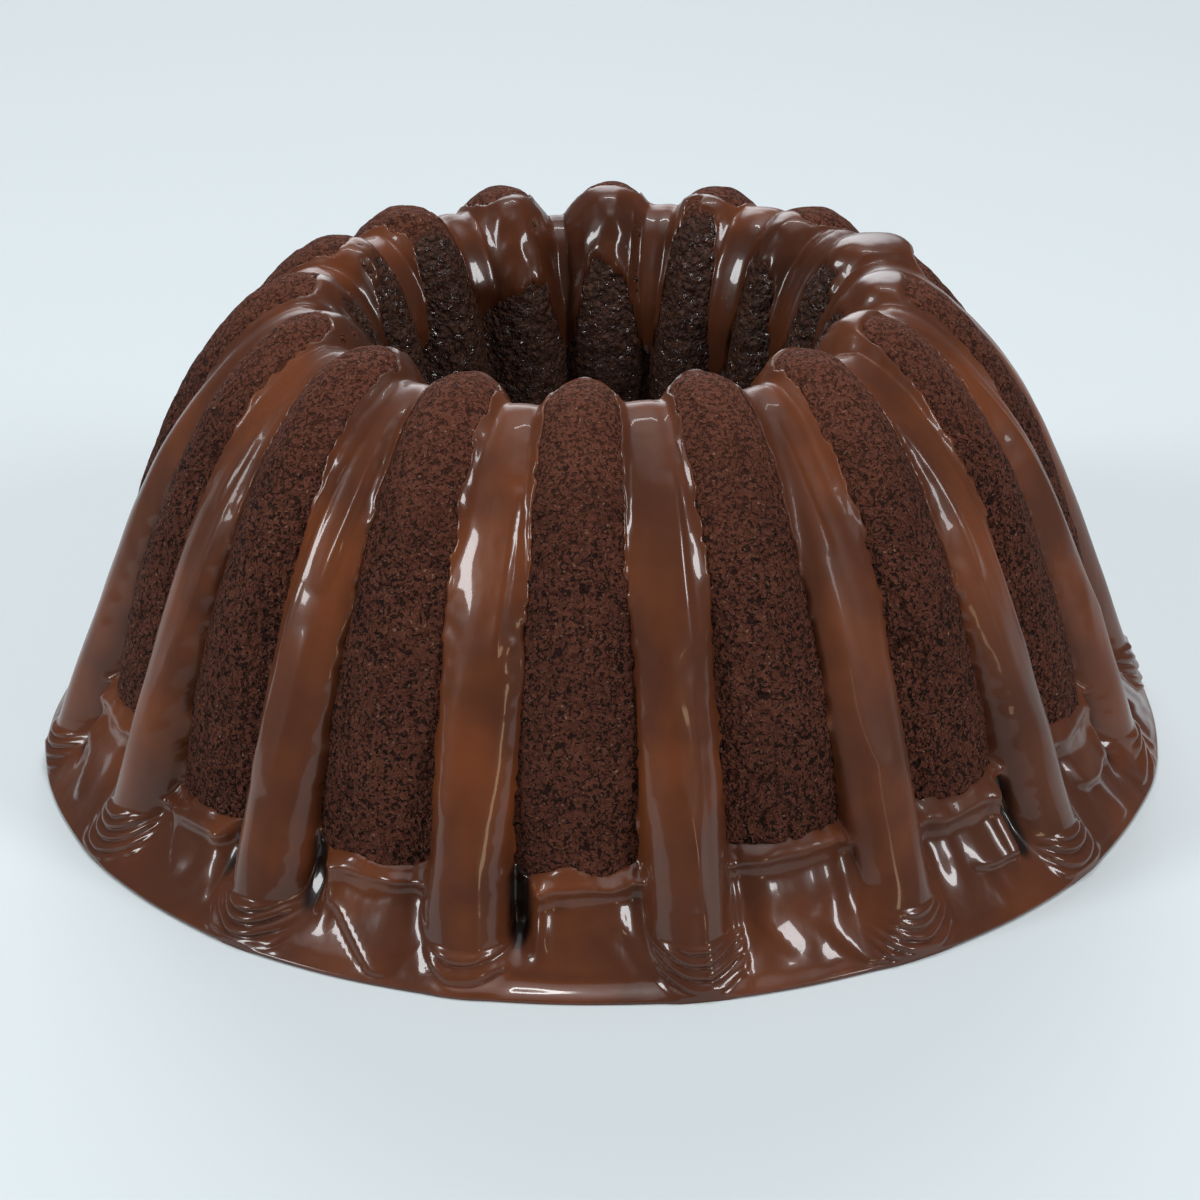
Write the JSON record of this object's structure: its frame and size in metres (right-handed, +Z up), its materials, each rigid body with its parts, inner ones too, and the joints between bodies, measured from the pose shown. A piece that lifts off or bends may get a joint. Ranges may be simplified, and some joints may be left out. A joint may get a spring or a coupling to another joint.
{
  "type": "bundt cake",
  "caption": "Round fluted chocolate ring cake with a tapering centre hole, under a thick poured chocolate glaze that runs down its valleys and pools at the foot.",
  "frame": {"origin": "middle of the cake's flat foot, at the level of the surface it stands on", "axes": "+Z up along the axis of the centre hole, -Y towards the side that the picture shows"},
  "size_m": [0.2415, 0.2415, 0.1032],
  "materials": {
    "chocolate_crumb": "matte, finely pored dark chocolate crumb",
    "chocolate_glaze": "smooth glossy chocolate glaze"
  },
  "bodies": {
    "root": {"cake": "chocolate_crumb", "glaze": "chocolate_glaze"}
  },
  "joints": []
}
